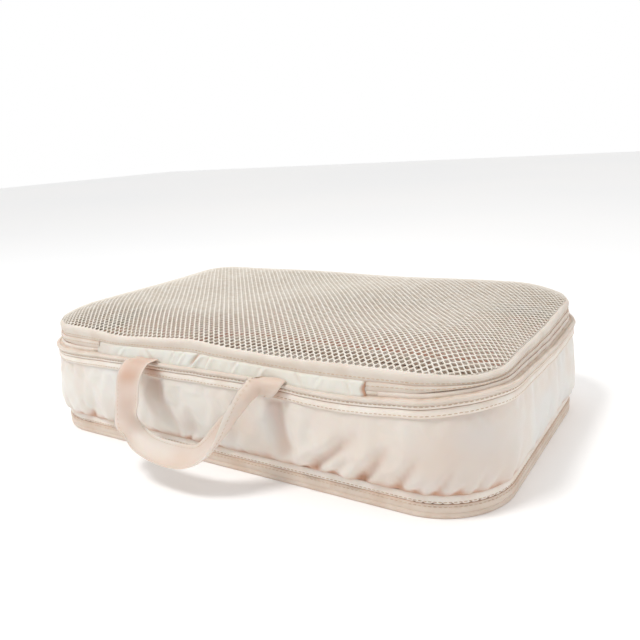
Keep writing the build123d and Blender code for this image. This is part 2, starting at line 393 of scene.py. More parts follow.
class Nodes:
    """Short calls for building the nodes of a material or a world."""

    def __init__(self, owner, shader="Principled BSDF", place="Object"):
        self.owner = owner
        owner.use_nodes = True
        self.tree = owner.node_tree
        self.shader = self.tree.nodes[shader]
        self.place = self.add("ShaderNodeTexCoord").outputs[place]

    def add(self, kind, inputs=(), **settings):
        """A new node with its settings, and its inputs given by name or number."""
        node = self.tree.nodes.new(kind)
        for key, value in settings.items():
            setattr(node, key, value)
        for socket, value in dict(inputs).items():
            self.put(node, socket, value)
        return node

    def put(self, node, socket, value):
        """Links a socket, or sets a constant. Three numbers are a colour as it looks on a screen."""
        if isinstance(value, bpy.types.NodeSocket):
            self.tree.links.new(value, node.inputs[socket])
        elif isinstance(value, tuple) and len(value) == 3:
            node.inputs[socket].default_value = linear(value)
        else:
            node.inputs[socket].default_value = value

    def math(self, operation, *values):
        return self.add("ShaderNodeMath", enumerate(values), operation=operation).outputs[0]

    def scaled(self, value, factor, more=0.0):
        """value times factor, plus more."""
        return self.math("MULTIPLY_ADD", value, factor, more)

    def axes(self):
        """x, y and z of each place."""
        return self.add("ShaderNodeSeparateXYZ", {0: self.place}).outputs

    def ribs(self, value, pitch):
        """A wave from -1 to 1 that repeats at a pitch."""
        return self.math("SINE", self.scaled(value, 2 * math.pi / pitch))

    def noise(self, scale, detail=2.0):
        inputs = {"Vector": self.place, "Scale": scale, "Detail": detail}
        return self.add("ShaderNodeTexNoise", inputs).outputs["Fac"]

    def ramp(self, value, low, high, first=0.0, last=1.0, curve="SMOOTHSTEP"):
        inputs = {"Value": value, "From Min": low, "From Max": high, "To Min": first, "To Max": last}
        return self.add("ShaderNodeMapRange", inputs, interpolation_type=curve).outputs["Result"]

    def mix(self, share, first, second):
        return self.add("ShaderNodeMix", {0: share, 6: first, 7: second}, data_type="RGBA").outputs[2]

    def share(self, name):
        """A value from 0 to 1 that a mesh holds at each of its points."""
        return self.add("ShaderNodeAttribute", attribute_name=name).outputs["Fac"]

    def bump(self, height, strength, distance):
        node = self.add("ShaderNodeBump", {"Height": height, "Strength": strength, "Distance": distance})
        self.put(self.shader, "Normal", node.outputs["Normal"])

    def finish(self, color, roughness, **constants):
        self.put(self.shader, "Base Color", color)
        self.put(self.shader, "Roughness", roughness)
        for key, value in constants.items():
            self.put(self.shader, key.replace("_", " "), value)
        return self.owner


SATIN_THREAD = 0.5 * MM      # pitch of the satin's weave


def satin_fabric(name, pale, warm, cool, roughness, wear):
    """Satin nylon: a fine weave, slow changes of tone, a soft sheen and painted warm shade in its folds,
    creases and other shaded places.
    """
    n = Nodes(bpy.data.materials.new(name))
    cloud = n.noise(9.0, 3.0)
    blotch = n.noise(38.0)
    tone = n.ramp(n.scaled(cloud, 0.65, n.scaled(blotch, 0.35)), 0.38, 0.62)
    cool_patches = n.ramp(n.noise(14.0, 1.0), 0.56, 0.72)
    color = n.mix(cool_patches, n.mix(tone, pale, warm), cool)
    # Painted shade: the colour turns toward SHADE as far as each point's painted shade share goes.
    color = n.mix(n.share("painted_shade"), color, SHADE)
    x, y, z = n.axes()
    weft = n.ribs(z, SATIN_THREAD)
    warp = n.ribs(n.math("ADD", x, y), SATIN_THREAD)
    weave = n.math("MULTIPLY", weft, warp)
    crinkle = n.noise(260.0, 3.0)
    n.bump(n.scaled(weave, 0.25, n.scaled(crinkle, wear)), 0.35, 0.25 * MM)
    rough = n.ramp(blotch, 0.3, 0.7, roughness - 0.05, roughness + 0.07)
    return n.finish(color, rough, Sheen_Weight=0.25, Sheen_Roughness=0.4, Specular_IOR_Level=0.5,
                    Subsurface_Weight=0.12, Subsurface_Scale=0.004)


def ribbed_tape(name, pale, warm, groove_shade, rib):
    """Grosgrain or zip tape: ribs across the band, tone changes, painted shade in the grooves between the
    ribs and painted shade at shaded edges and under the strap.
    """
    n = Nodes(bpy.data.materials.new(name))
    x, y, z = n.axes()
    ribs = n.ribs(z, rib)
    weft = n.ribs(n.math("ADD", x, y), rib * 0.9)
    blotch = n.noise(55.0, 3.0)
    fine = n.noise(420.0)
    # Painted shade in the grooves between the ribs, toward the darker colour.
    between_ribs = n.ramp(n.scaled(fine, 0.6, ribs), -0.9, 0.2, 0.35, 0.0)
    color = n.mix(between_ribs, n.mix(n.ramp(blotch, 0.35, 0.7), pale, warm), groove_shade)
    # Painted shade at the band's edges and painted shadow of the strap.
    color = n.mix(n.scaled(n.share("painted_shade"), 0.85), color, SHADE)
    height = n.scaled(ribs, 0.5, n.scaled(n.math("MULTIPLY", weft, ribs), 0.3))
    n.bump(n.scaled(fine, 0.5, height), 0.5, 0.2 * MM)
    return n.finish(color, 0.72, Sheen_Weight=0.2, Sheen_Roughness=0.5, Specular_IOR_Level=0.3,
                    Subsurface_Weight=0.08, Subsurface_Scale=0.003)


def thread_material(name, pale, warm, roughness=0.6):
    """Sewing thread or net yarn: two tones and a twist."""
    n = Nodes(bpy.data.materials.new(name))
    tone = n.ramp(n.noise(180.0), 0.35, 0.7)
    twist = n.noise(1500.0, 1.0)
    n.bump(twist, 0.4, 0.1 * MM)
    return n.finish(n.mix(tone, pale, warm), roughness, Specular_IOR_Level=0.4, Sheen_Weight=0.15)


def painted_metal(name, pale, warm):
    """Slider paint: smooth, with faint orange peel and lighter worn patches."""
    n = Nodes(bpy.data.materials.new(name))
    worn = n.ramp(n.noise(140.0, 4.0), 0.45, 0.75)
    orange_peel = n.noise(700.0)
    n.bump(orange_peel, 0.15, 0.1 * MM)
    rough = n.ramp(n.noise(90.0), 0.3, 0.7, 0.25, 0.42)
    return n.finish(n.mix(worn, pale, warm), rough, Metallic=0.35, Specular_IOR_Level=0.5, Coat_Weight=0.3,
                    Coat_Roughness=0.2)


# The colour of painted shade, for folds, creases, gaps between bands and cast shadows.
SHADE = (194, 149, 121)
WALL = satin_fabric("satin_nylon", (233, 226, 218), (229, 216, 205), (229, 225, 220), 0.40, 0.35)
HINGE = satin_fabric("thin_nylon", (230, 226, 218), (228, 220, 209), (226, 222, 214), 0.45, 0.6)
STRAP = satin_fabric("strap_satin", (226, 216, 206), (220, 202, 187), (228, 220, 210), 0.44, 0.7)
BINDING = ribbed_tape("binding_tape", (228, 214, 200), (218, 199, 182), (192, 157, 129), 0.9 * MM)
ZIP_TAPE = ribbed_tape("zip_tape", (248, 241, 232), (242, 230, 218), (204, 172, 145), 0.7 * MM)
LIP = ribbed_tape("lip_tape", (228, 219, 208), (221, 209, 196), (202, 174, 148), 0.8 * MM)
THREAD = thread_material("sewing_thread", (214, 192, 168), (198, 170, 144))
YARN = thread_material("net_yarn", (236, 229, 218), (226, 215, 200))
COIL = thread_material("coil_nylon", (222, 202, 180), (202, 174, 146), 0.4)
PAINT = painted_metal("slider_paint", (222, 200, 176), (232, 214, 194))


def finish_piece(piece, material, slot, body, *nodes):
    """Gives a piece its material, body and the nodes that it stands for. The slot argument is not used."""
    piece.data.materials.clear()
    piece.data.materials.append(material)
    if body:
        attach(piece, body)
    if nodes:
        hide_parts(*nodes)
    return piece


def add_band(name, material, slot, body, node, section, *stations, **look):
    """A finished band. See band for the stations and the look."""
    return finish_piece(band(name, section, *stations, **look), material, slot, body, node)


def add_stitches(name, slot, body, offset, z, *stations):
    finish_piece(stitch_row(name, offset, z, *stations), THREAD, slot, body)


def add_coils(name, nodes, bodies, tape_outer, split, *stations):
    """Both coils of a zip, behind its tapes and half a pitch apart."""
    depth = tape_outer - TAPE - COIL_DEPTH / 2
    for half, body, side, phase in (("lower", bodies[0], -1, 0.0), ("upper", bodies[1], 1, 0.5)):
        coil = coil_row(f"{name}_{half}", depth, split + side * COIL_RISE, phase, *stations)
        finish_piece(coil, COIL, "zip_coil", body, f"{nodes}_{half}_coil")


def set_painted_shade(piece, values):
    """Stores how much painted shade each point gets, from 0 to 1, which the fabric mixes toward its shade
    colour.
    """
    layer = piece.data.attributes.new("painted_shade", "FLOAT", "POINT")
    layer.data.foreach_set("value", np.clip(np.asarray(values, float).ravel(), 0, 1))


def refine(piece):
    """Rounds a piece with one level of subdivision."""
    fine = piece.modifiers.new("fine", "SUBSURF")
    fine.levels = fine.render_levels = 1


def thicken(piece, thickness):
    """Gives a sheet its thickness, away from its outer side."""
    solid = piece.modifiers.new("thickness", "SOLIDIFY")
    solid.thickness = thickness
    solid.offset = -1


# ---- Base ----
ROLL_TOP = 4.6 * MM         # the bottom binding's round hem ends here
GROOVE = 10.6 * MM          # and its ribbed tape here, below the upper strip
GATHER_PITCH = 6.4 * MM


def corner_share(u):
    """1 at the middle of each rounded corner and 0 on the straight sides."""
    middles = [STRAIGHT_X + QUARTER / 2, STRAIGHT_X + 1.5 * QUARTER + 2 * STRAIGHT_Y]
    return sum(near_share(side * middle, u, 0.25 * QUARTER, 0.8 * QUARTER)
               for middle in middles for side in (1, -1))


def gathered_edge(u, offset, z):
    """The upper strip's lower edge stands open between its stitches where it is gathered round a corner."""
    lift = np.maximum(0, np.sin(2 * math.pi * u / GATHER_PITCH)) * corner_share(u)
    low = 1 - smooth(GROOVE, GROOVE + 2.5 * MM, z)
    return 0.5 * MM * lift * low, 1.3 * MM * lift * low


def make_bottom():
    roll = rolled_section(0.0, ROLL_TOP, outer=-0.9 * MM, inner=-2.2 * MM, roll=1.1 * MM)
    tape = rounded_section(ROLL_TOP - 1.0 * MM, GROOVE, outer=-0.35 * MM, inner=-2.2 * MM, bulge=0.5 * MM)
    strip = rounded_section(GROOVE - 0.2 * MM, BAND_TOP, outer=-0.9 * MM, inner=-2.4 * MM, bulge=0.45 * MM)
    held = ("binding_fabric", "base", "bottom_binding")
    # The roll's lower edge carries a painted contact shadow where it meets the floor, and the tape's edges
    # carry painted shade.
    add_band("bottom_binding_roll", BINDING, *held, roll, soiled=(1.0, 0.7))
    add_band("bottom_binding_tape", BINDING, *held, tape, soiled=(0.7, 0.7))
    add_band("bottom_binding_strip", ZIP_TAPE, *held, strip, wrinkle=gathered_edge, step=1.6 * MM)
    rows = [stitch_row("bottom_stitches_low", 0.0, GROOVE - 1.7 * MM),
            stitch_row("bottom_stitches_high", -0.55 * MM, GROOVE + 1.6 * MM)]
    finish_piece(join("bottom_stitches", rows), THREAD, "binding_fabric", "base")


def make_bottom_panel():
    """The base fabric: a flat sheet inside the binding, slightly uneven where the load has pressed it."""
    columns, rows = 150, 100
    inset = 1.8 * MM
    turn = np.linspace(-math.pi / 2, math.pi / 2, rows)[:, None]
    y = (HALF_DEPTH - inset) * np.sin(turn)
    into_corner = np.maximum(0, np.abs(y) - STRAIGHT_Y)
    radius = CORNER - inset
    limit = STRAIGHT_X + np.sqrt(np.maximum(radius ** 2 - into_corner ** 2, 0))
    x = limit * np.linspace(-1, 1, columns)[None, :]
    y = np.broadcast_to(y, x.shape)
    uneven = np.sin(x / 0.031 + y / 0.047) * np.cos(y / 0.029 - x / 0.083)
    inside = np.clip(inside_distance(x, y, inset) / (25 * MM), 0, 1)
    z = 1.3 * MM + 0.45 * MM * (1 + uneven) * inside
    panel = mesh_object("bottom_panel_fabric", np.stack([x, y, z], axis=-1), grid_faces(rows, columns))
    thicken(panel, -0.8 * MM)
    finish_piece(panel, WALL, "wall_fabric", "base", "bottom_panel")


# Folds that are drawn in the wall on the handle side and round its right corner. See fold_field.
WALL_FOLDS = [
    ((83, 16), (119, 48), 5.4, 5.6), ((101, 16), (121, 32), 3.4, 2.6), ((126, 16), (147, 42), 4.8, 5.4),
    ((141, 16), (156, 29), 3.0, 2.6), ((154, 16), (168, 37), 4.0, 4.6), ((167, 16), (177, 27), 2.6, 2.4),
    ((180, 16), (190, 31), 3.2, 3.6), ((192, 16), (200, 25), 2.3, 2.2), ((206, 16), (213, 28), 2.8, 2.8),
    ((218, 16), (226, 26), 2.4, 1.8), ((240, 16), (249, 30), 3.8, 1.5), ((69, 16), (86, 28), 3.8, 2.8),
    ((-19, 16), (-8, 25), 3.0, 2.6), ((-34, 16), (-26, 24), 2.6, 1.6), ((2, 16), (10, 24), 2.6, 1.6),
    ((62, 74), (71, 18), 9.5, 4.6), ((-58, 74), (-43, 34), 8.0, 3.6), ((203, 71), (213, 59), 2.3, 1.6),
    ((212, 71), (223, 60), 2.3, 1.6), ((232, 71), (243, 62), 2.4, 1.3), ((20, 71), (23, 60), 2.8, 1.0),
    ((-105, 16), (-96, 30), 3.6, 1.8), ((-150, 17), (-141, 33), 4.4, 2.0), ((120, 71), (126, 60), 2.8, 1.2),
]


def random_folds(seed, count):
    """Small folds that start at the wall's seams, from the right end by way of the back to the left end."""
    rng = np.random.default_rng(seed)
    folds = []
    for index in range(count):
        station = rng.uniform(440, 1180)
        from_foot = index % 3 < 2
        start = 16 if from_foot else 72
        reach = rng.uniform(9, 26) * (1 if from_foot else -1)
        end = (station + rng.uniform(-14, 14), start + reach)
        width, depth = rng.uniform(2.2, 4.4), rng.uniform(0.9, 2.6)
        folds.append(((station, start), end, width, depth))
    return folds


# The wall's profile from its foot to its top, as (height, distance outside the outline) in millimetres.
WALL_PROFILE = [(14.0, -1.7), (16.6, -1.6), (18.2, 0.4), (20.5, 2.0), (26.0, 3.6), (38.0, 5.0), (52.0, 5.4),
                (63.0, 5.1), (68.5, 4.3), (71.2, 3.9), (72.6, 3.9)]
# Painted shade, warmer and darker, on the wall before its right corner, as (station, half width, strength).
WALL_CORNER_SHADE = [(205, 52, 0.2)]


def wall_grid():
    """The wall's stations, and its offsets and heights at even steps along its profile."""
    rows, columns = 24, int(PERIMETER / (3.2 * MM))
    u = np.linspace(0, PERIMETER, columns, endpoint=False)[:, None]
    profile = np.array(WALL_PROFILE) * MM
    along = np.concatenate([[0], np.cumsum(np.hypot(*np.diff(profile, axis=0).T))])
    even = np.linspace(0, along[-1], rows)
    z = np.interp(even, along, profile[:, 0])[None, :]
    offset = np.interp(even, along, profile[:, 1])[None, :]
    hold = smooth(BAND_TOP, BAND_TOP + 8 * MM, z) * (1 - smooth(WALL_TOP - 8 * MM, WALL_TOP, z))
    swell = 0.8 * MM * waves(u, z, 21, 0.05, 0.3) + 0.3 * MM * waves(u, z, 22, 0.015, 0.05)
    return u, offset + hold * swell, z


def make_side_wall():
    u, offset, z = wall_grid()
    columns, rows = offset.shape
    faces = grid_faces(columns, rows, close_rows=True)
    wall = mesh_object("side_wall_fabric", shell_points(u, offset, z), faces)
    index = np.arange(columns * rows).reshape(columns, rows)
    pinned = np.concatenate([index[:, :2].ravel(), index[:, -2:].ravel()])
    drawn_tight = near_share(RIGHT_END, u, 95 * MM, 135 * MM)
    reach = np.repeat(2.6 * MM - 2.1 * MM * drawn_tight, rows, axis=0)
    relax(wall, pinned, pressure=1.6, slack=0.024, reach=reach)
    folds = fold_field(u, z, WALL_FOLDS + random_folds(seed=23, count=46))
    above_foot = z - BAND_TOP
    puckers = 1.2 * MM * waves(u, 0, 24, 0.009, 0.03) * np.exp(-((z - 20 * MM) / (4 * MM)) ** 2)
    sewn = smooth(-1.5 * MM, 3 * MM, above_foot) * (1 - smooth(WALL_TOP - 3 * MM, WALL_TOP, z))
    push = (folds + puckers) * sewn
    move_points(wall, coordinates(wall).reshape(columns, rows, 3) + outward_at(u) * push[..., None])
    # Painted shade: darker along the seam at the wall's foot, in the valleys of the folds, most near the
    # foot, and before the right corner.
    above_seam = np.maximum(0, above_foot - 2.6 * MM)
    crease = np.exp(-above_seam / (0.9 * MM))
    foot = np.exp(-above_seam / (3.2 * MM))
    valley = smooth(0.1 * MM, 3.6 * MM, -push)
    set_painted_shade(wall, 0.75 * crease + (0.4 + 0.75 * foot) * valley + station_bumps(u, WALL_CORNER_SHADE) / MM)
    refine(wall)
    thicken(wall, 0.5 * MM)
    finish_piece(wall, WALL, "wall_fabric", "base", "side_wall")


# ---- Zips and bands ----
STRIP_TOP = COLLAR_SEAM - 2.9 * MM      # the compression zip's flat tape ends here, below the rolled lip
SPLIT_GAP = 0.15 * MM                   # from the middle of the compression zip to each tape
LID_SPLIT_GAP = 0.45 * MM               # and of the lid zip
COIL_RISE = 0.7 * MM                    # from the middle of a zip to the middle of each coil
COIL_DEPTH = 1.8 * MM                   # room for a coil behind its tape
TAPE = 1.2 * MM                         # a zip tape's thickness

# Painted shadow of the strap on the compression zip, where the strap goes in under its lip, as (station, half
# width, strength).
STRAP_SHADOWS = [(-57, 9, 0.75), (64, 9, 0.75)]


def make_compression_zip():
    lower = rounded_section(WALL_TOP, COMPRESSION_SPLIT - SPLIT_GAP, outer=BAND_STEP - 0.9 * MM,
                            inner=BAND_STEP - 2.0 * MM, bulge=0.5 * MM)
    strip = rounded_section(COMPRESSION_SPLIT + SPLIT_GAP, STRIP_TOP, outer=BAND_STEP - 0.7 * MM,
                            inner=BAND_STEP - 2.0 * MM, bulge=0.3 * MM)
    lip = rolled_section(STRIP_TOP - 0.2 * MM, COLLAR_SEAM + 0.2 * MM, outer=BAND_STEP - 1.0 * MM,
                         inner=BAND_STEP - 2.6 * MM, roll=1.7 * MM)
    held_low = ("zip_tape", "base", "compression_zip_lower_tape")
    held_high = ("zip_tape", "collar", "compression_zip_upper_tape")
    add_band("compression_zip_lower", ZIP_TAPE, *held_low, lower, stains=STRAP_SHADOWS)
    add_band("compression_zip_upper", ZIP_TAPE, *held_high, strip, stains=STRAP_SHADOWS)
    add_band("compression_zip_lip", LIP, *held_high, lip)
    add_stitches("compression_stitches_low", "zip_tape", "base", BAND_STEP - 0.5 * MM, WALL_TOP + 2.0 * MM)
    add_stitches("compression_stitches_high", "zip_tape", "collar", BAND_STEP - 0.4 * MM,
                 STRIP_TOP - 1.1 * MM)
    add_coils("compression_coil", "compression_zip", ("base", "collar"), BAND_STEP, COMPRESSION_SPLIT)


GUSSET_PLEATS = 3


def make_inner_bindings():
    """Two narrow tapes that bind the seams inside the zip, and the folded gusset between them."""
    low_bottom, low_top = node_low("wall_seam_binding")[2], node_high("wall_seam_binding")[2]
    high_bottom, high_top = node_low("collar_seam_binding")[2], node_high("collar_seam_binding")[2]
    outer, middle, inner = BAND_STEP - 2.2 * MM, 1.5 * MM, -1.0 * MM
    lower = [(outer, low_bottom + 0.4 * MM), (outer, low_top), (middle, low_top - 0.1 * MM),
             (inner, low_top - 0.5 * MM), (inner - 0.5 * MM, low_top - 1.2 * MM),
             (inner, low_bottom + 0.5 * MM), (middle, low_bottom + 0.2 * MM)]
    upper = [(offset, high_top + low_bottom - z) for offset, z in reversed(lower)]
    add_band("wall_seam_tape", BINDING, "binding_fabric", "base", "wall_seam_binding", lower)
    add_band("collar_seam_tape", BINDING, "binding_fabric", "collar", "collar_seam_binding", upper)
    rows, columns = 33, int(PERIMETER / (3.0 * MM))
    overlap = 0.8 * MM
    share = np.linspace(0, 1, rows)[None, :]
    u = np.linspace(0, PERIMETER, columns, endpoint=False)[:, None]
    z = low_top - overlap + (high_bottom - low_top + 2 * overlap) * share
    pleats = np.cos(2 * math.pi * GUSSET_PLEATS * share) * np.sin(math.pi * share) ** 0.3
    uneven = waves(u, z, 51, 0.02, 0.08) * np.sin(math.pi * share)
    points = shell_points(u, -0.8 * MM - 2.4 * MM * pleats + 0.4 * MM * uneven, z)
    gusset = mesh_object("expansion_gusset_fabric", points, grid_faces(columns, rows, close_rows=True))
    thicken(gusset, 0.3 * MM)
    finish_piece(gusset, WALL, "wall_fabric", None, "expansion_gusset")
    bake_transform(gusset)


def make_lid_zip():
    lower = rounded_section(COLLAR_SEAM - 0.6 * MM, LID_SPLIT - LID_SPLIT_GAP,
                            outer=LID_TAPE_OUTER + 0.2 * MM, inner=LID_TAPE_OUTER - 1.0 * MM,
                            bulge=0.3 * MM, edge=0.3 * MM)
    upper = rounded_section(LID_SPLIT + LID_SPLIT_GAP, LID_BAND_LOW + 0.8 * MM,
                            outer=LID_TAPE_OUTER + 0.2 * MM, inner=LID_TAPE_OUTER - 1.2 * MM,
                            bulge=0.4 * MM)

    def closed_ends(u, offset, z):
        """Near the hinge panel the upper tape hangs down over the teeth."""
        near = np.minimum(u - ZIP_START, ZIP_END - u)
        share = 1 - smooth(28 * MM, 50 * MM, near)
        low = 1 - smooth(LID_SPLIT + 0.6 * MM, LID_SPLIT + 2.0 * MM, z)
        return 0.25 * MM * share * low, -1.15 * MM * share * low

    whole = (ZIP_START, ZIP_END)
    add_band("lid_zip_lower", ZIP_TAPE, "zip_tape", "collar", "lid_zip_lower_tape", lower, *whole)
    add_band("lid_zip_upper", LIP, "zip_tape", "lid", "lid_zip_upper_tape", upper, *whole,
             wrinkle=closed_ends)
    add_stitches("lid_zip_stitches", "zip_tape", "lid", LID_TAPE_OUTER + 0.55 * MM, LID_SPLIT + 2.6 * MM,
                 *whole)
    add_coils("lid_coil", "lid_zip", ("collar", "lid"), LID_TAPE_OUTER, LID_SPLIT, *whole)


def make_end_tabs():
    """Small folded tabs over the ends of the zips."""
    lid_offset, lid_width = LID_TAPE_OUTER + 0.6 * MM, 8 * MM
    back_start = BACK_MIDDLE - node_high("compression_zip_end_tab")[0]
    for node, body, start, outer in (
            ("lid_zip_end_tab_right", "collar", ZIP_START, lid_offset),
            ("lid_zip_end_tab_left", "collar", ZIP_END - lid_width, lid_offset),
            ("compression_zip_end_tab", "base", back_start, BAND_STEP + 1.1 * MM)):
        low, high = node_low(node), node_high(node)
        end = start + high[0] - low[0]
        section = rounded_section(low[2], high[2], outer, outer - 1.4 * MM, bulge=0.3 * MM, edge=0.5 * MM)
        # Light painted shade along both edges of each tab.
        add_band(node + "_fold", LIP, "binding_fabric", body, node, section, start, end, step=0.8 * MM,
                 soiled=(0.2, 0.2))


def make_lid_binding():
    """The band round the net: a flat skirt with stitches, and a thick rolled rim above it."""
    skirt = [(-0.8, 0), (-0.1, 0.4), (0.2, 2.4), (0.0, 3.0), (0.5, 4.4)]
    rim = [(0.9, -3.4), (0.6, -1.9), (-0.2, -0.8), (-1.3, -0.1), (-2.5, -0.1), (-3.6, -0.8), (-4.2, -2.2),
           (-3.6, -4.0), (-2.4, -5.0)]
    section = [(offset * MM, LID_BAND_LOW + rise * MM) for offset, rise in skirt]
    section += [(offset * MM, LID_BAND_TOP + rise * MM) for offset, rise in rim]
    section.append((-2.2 * MM, LID_BAND_LOW))
    # Painted shade along the skirt's lower edge, where it meets the lid zip.
    refine(add_band("lid_binding_tape", LIP, "binding_fabric", "lid", "lid_binding", section, step=2.0 * MM,
                    soiled=(1.0, 0.0)))
    add_stitches("lid_stitches", "binding_fabric", "lid", 0.15 * MM, LID_BAND_LOW + 2.7 * MM)


# Folds that are drawn in the hinge panel. See fold_field.
HINGE_FOLDS = [
    ((-6, 96), (-16, 86), 1.8, 2.6), ((-24, 95), (-29, 88), 1.4, 1.5), ((-34, 94), (-37, 88), 1.3, 1.1),
    ((3, 96), (-1, 86), 1.7, 1.3), ((29, 95), (24, 86), 1.6, 1.1), ((52, 94), (48, 87), 1.8, 1.0),
    ((-70, 94), (-62, 87), 2.4, 0.9), ((-94, 93), (-99, 86), 2.0, 0.9), ((78, 94), (84, 87), 2.2, 0.9),
    ((101, 94), (97, 87), 1.8, 0.8), ((120, 95), (124, 86), 2.0, 1.0),
]


def make_hinge_panel():
    """Thin crinkled fabric from behind the compression zip's lip up to behind the lid's binding."""
    rows, columns = 22, 230
    share = np.linspace(0, 1, rows)[None, :]
    spread = np.linspace(0, 1, columns)[:, None]
    bottom, top = COLLAR_SEAM - 0.9 * MM, LID_BAND_LOW + 1.4 * MM
    z = bottom + (top - bottom) * share
    left, right = PANEL_LEFT - 4 * MM, PANEL_RIGHT + 0.9 * MM
    ragged = 0.9 * MM * np.sin(z / (1.3 * MM))
    u = left + (right - left + ragged) * spread
    offset = 3.8 * MM * (1 - share) ** 0.8 + 0.3 * MM * share
    tucked_top = 1.6 * MM * smooth(0.86, 1.0, share)
    tucked_left = 1.6 * MM * (1 - smooth(0, 0.035, spread))
    tucked_right = 2.2 * MM * smooth(0.985, 1.0, spread)
    offset = offset - tucked_top - tucked_left - tucked_right
    ends = smooth(0, 0.03, spread) * (1 - smooth(0.95, 1.0, spread))
    hold = np.sin(math.pi * share) ** 0.6 * (0.15 + 0.85 * ends)
    waver = 0.6 * MM * waves(u, z, 31, 0.010, 0.04) + 0.5 * MM * waves(u, z, 32, 0.03, 0.09)
    push = hold * (0.7 * MM + waver + 1.9 * fold_field(u, z, HINGE_FOLDS))
    panel = mesh_object("hinge_panel_fabric", shell_points(u, offset + push, z), grid_faces(columns, rows))
    # Painted shade: in the folds' valleys, where the panel tucks under the bands above and below and at its
    # right end, and warmer at its left end where it tucks in.
    edges = smooth(0.988, 0.996, spread) + 0.35 * smooth(0.9, 1, share) + 0.25 * (1 - smooth(0, 0.1, share))
    warm_end = 0.22 * (1 - smooth(0.02, 0.16, spread))
    set_painted_shade(panel, 0.6 * smooth(0.1 * MM, 1.8 * MM, -push) + edges + warm_end)
    refine(panel)
    thicken(panel, 0.35 * MM)
    finish_piece(panel, HINGE, "hinge_fabric", None, "hinge_panel")
    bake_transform(panel)


# ---- Net ----
def inside_distance(x, y, inset):
    """Distance inside the outline moved in by inset."""
    half_x, half_y, radius = HALF_LENGTH - inset, HALF_DEPTH - inset, CORNER - inset
    qx = np.abs(x) - (half_x - radius)
    qy = np.abs(y) - (half_y - radius)
    outside = np.hypot(np.maximum(qx, 0), np.maximum(qy, 0))
    return radius - outside - np.minimum(np.maximum(qx, qy), 0)


def outline_station(x, y):
    """The arc length u of the place on the outline that is nearest to each point."""
    u = np.linspace(0, PERIMETER, 600, endpoint=False)
    line_x, line_y, nx, ny = outline_at(u)
    gap = (x[:, None] - line_x[None, :]) ** 2 + (y[:, None] - line_y[None, :]) ** 2
    return u[np.argmin(gap, axis=1)]


def crown(x, y):
    """Height of the net over a place, crowned by what it holds."""
    reach = 52 * MM
    rim = LID_BAND_TOP - 1.0 * MM
    share = np.clip(inside_distance(x, y, 3 * MM) / reach, 0, 1)
    rise = 1 - (1 - share) ** 2.1
    lumps = np.sin(x / 0.047 + 0.6) * np.cos(y / 0.041 - 0.4) + 0.6 * np.sin(x / 0.028 - y / 0.035)
    return rim + (CROWN_TOP - rim - 1.5 * MM) * rise + 0.9 * MM * lumps * rise


NET_PITCH = 5.1 * MM        # between holes in one row
NET_ROW = 3.1 * MM          # between rows, which are offset by half a pitch
NET_HOLE = 0.64             # size of a hole as a share of its cell
NET_YARN = 0.42 * MM        # half of the yarn's thickness
# A cell's six corners as steps to the cell that each one belongs to, and whether it is above or below that.
CELL_CORNERS = [(0, 0, 1), (1, 1, -1), (1, -1, 1), (0, 0, -1), (-1, -1, 1), (-1, 1, -1)]


def make_net():
    """Rows of six-sided holes between yarns that are thickest along their middle."""
    half = NET_PITCH / 2
    peak = (half ** 2 + NET_ROW ** 2) / (2 * NET_ROW)
    inset = 2.0 * MM
    across, deep = int(HALF_LENGTH / half) + 2, int(HALF_DEPTH / NET_ROW) + 2
    points, index_of, faces = [], {}, []

    def corner(i, j, upward, layer):
        """A corner that three cells share, on the yarn's upper or lower ridge."""
        key = (i, j, upward, layer)
        if key not in index_of:
            index_of[key] = len(points)
            points.append((i * half, j * NET_ROW + upward * peak, layer))
        return index_of[key]

    for i in range(-across, across + 1):
        for j in range(-deep, deep + 1):
            x, y = i * half, j * NET_ROW
            if (i + j) % 2 or inside_distance(np.float64(x), np.float64(y), inset) < -0.9 * half:
                continue
            owners = [(i + right, j + back, upward) for right, back, upward in CELL_CORNERS]
            rim = len(points)
            for a, b, upward in owners:
                corner_x, corner_y = a * half, b * NET_ROW + upward * peak
                points.append((x + (corner_x - x) * NET_HOLE, y + (corner_y - y) * NET_HOLE, 0))
            for layer in (1, -1):
                ridge = [corner(a, b, upward, layer) for a, b, upward in owners]
                for k in range(6):
                    after = (k + 1) % 6
                    quad = [rim + k, rim + after, ridge[after], ridge[k]]
                    faces.append(quad if layer > 0 else quad[::-1])
    points = np.array(points)
    x, y, layer = points[:, 0], points[:, 1], points[:, 2]
    depth = inside_distance(x, y, inset)
    for _ in range(3):
        step = 0.5 * MM
        slope_x = (inside_distance(x + step, y, inset) - depth) / step
        slope_y = (inside_distance(x, y + step, inset) - depth) / step
        push = np.maximum(-depth, 0)
        x, y = x + slope_x * push, y + slope_y * push
        depth = inside_distance(x, y, inset)
    u = outline_station(x, y)
    outward, upward = settle(u, np.full_like(u, LID_BAND_TOP))
    rim_share = np.clip(1 - depth / (60 * MM), 0, 1) ** 1.5
    away = np.hypot(x, y)
    x, y = x + x / away * outward * rim_share, y + y / away * outward * rim_share
    z = crown(x, y) + upward * rim_share + layer * NET_YARN
    net = mesh_object("net_panel", np.stack([x, y, z], axis=-1), faces)
    finish_piece(net, YARN, "net", "lid", "mesh_panel")


# ---- Handle ----
STRAP_WIDTH = 25 * MM
STRAP_THICKNESS = 1.6 * MM
STRAP_LEVEL = (node_low("handle_end_left")[2] + node_high("handle_end_left")[2]) / 2
STRAP_HEM = 0.78            # the sewn rows' place across the webbing, 0 at its middle and 1 at its edge
STRAP_STEPS = 12            # between two places of its route
STRAP_END = 12 * MM         # without stitches at each end
STRAP_STITCH_PITCH = 3.0 * MM
STRAP_STITCH_LENGTH = 2.3 * MM
STRAP_STITCH_RADIUS = 0.22 * MM
